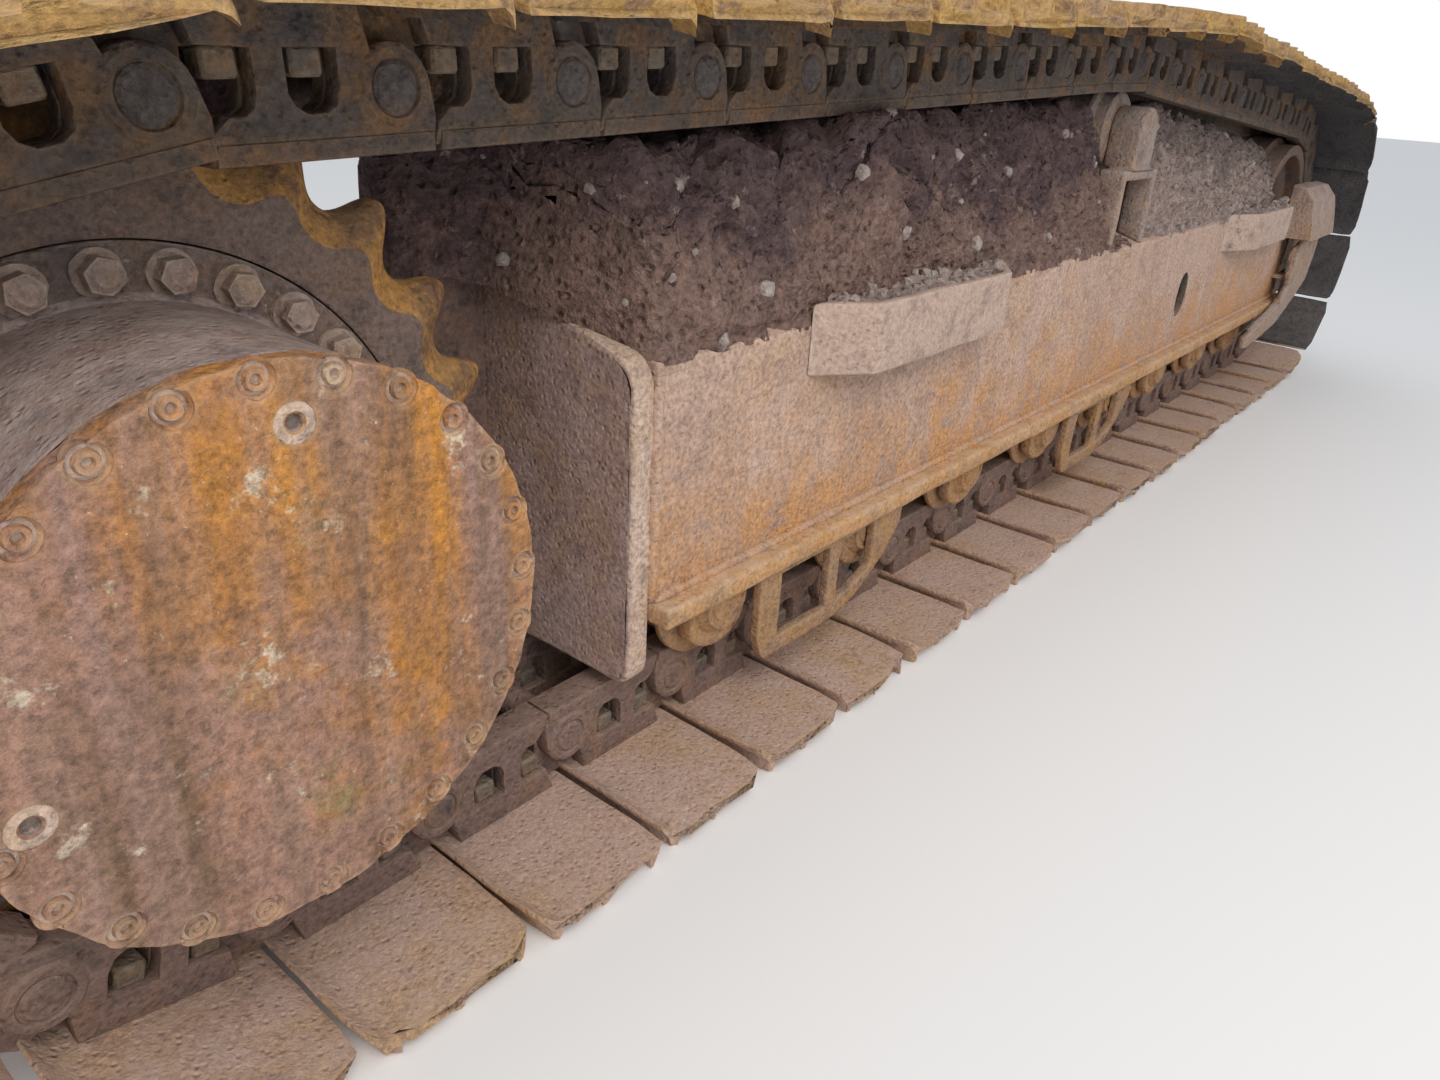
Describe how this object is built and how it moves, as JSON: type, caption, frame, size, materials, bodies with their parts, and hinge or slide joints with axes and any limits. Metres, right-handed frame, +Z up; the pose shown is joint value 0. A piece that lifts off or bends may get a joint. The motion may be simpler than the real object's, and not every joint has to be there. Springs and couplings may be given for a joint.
{
  "type": "excavator crawler track unit",
  "caption": "Crawler track unit of a large excavator: a steel chain with grouser shoes runs round a welded frame with a drum-shaped final drive, a toothed sprocket, rollers and an idler wheel.",
  "frame": {"origin": "on the ground, in the middle of the unit's box", "axes": "+X forward from the sprocket to the idler, +Y inboard towards the machine's middle, +Z up"},
  "size_m": [4.9306, 0.63, 1.115],
  "materials": {
    "chain_steel": "worn forged steel with brown rust and dust",
    "sprocket_steel": "cast steel, orange rust on the worn teeth",
    "drum_steel": "rusted casting under pink-brown dust",
    "cover_steel": "rusted plate with orange and brown streaks",
    "frame_steel": "faded paint under dust, rust showing through",
    "rail_steel": "rusted flange, rubbed light along its lip",
    "roller_steel": "rust and dried mud",
    "spring_steel": "dark grease and dust",
    "packed_mud": "dry, crumbly, dark red-brown earth with pebbles"
  },
  "bodies": {
    "frame": {"track_loop": "chain_steel", "sprocket": "sprocket_steel", "drive_drum": "drum_steel", "drive_cover": "cover_steel", "travel_motor": "drum_steel", "motor_mount": "frame_steel", "rear_end_plate": "frame_steel", "side_plate_outer": "frame_steel", "side_plate_inner": "frame_steel", "top_plate": "frame_steel", "bottom_rail_outer": "rail_steel", "bottom_rail_inner": "rail_steel", "step_rear": "frame_steel", "step_front": "frame_steel", "carrier_bracket_rear": "frame_steel", "carrier_bracket_front": "frame_steel", "carrier_roller_rear": "roller_steel", "carrier_roller_front": "roller_steel", "track_roller_1": "roller_steel", "track_roller_2": "roller_steel", "track_roller_3": "roller_steel", "track_roller_4": "roller_steel", "track_roller_5": "roller_steel", "track_roller_6": "roller_steel", "track_roller_7": "roller_steel", "track_roller_8": "roller_steel", "chain_guard_rear": "frame_steel", "chain_guard_front": "frame_steel", "idler_axle": "roller_steel", "idler_block_outer": "frame_steel", "idler_block_inner": "frame_steel", "idler_yoke": "frame_steel", "recoil_spring": "spring_steel", "idler_cap": "frame_steel", "leg_pad_rear": "frame_steel", "leg_pad_front": "frame_steel", "mud_bank_rear": "packed_mud", "mud_bank_front": "packed_mud"},
    "idler": {"idler_wheel": "roller_steel"}
  },
  "joints": [
    {"name": "idler_spin", "type": "hinge", "parent": "frame", "child": "idler", "pos_m": [1.97464, -0.015, 0.49817], "axis": [0, 1, 0], "continuous": true}
  ]
}
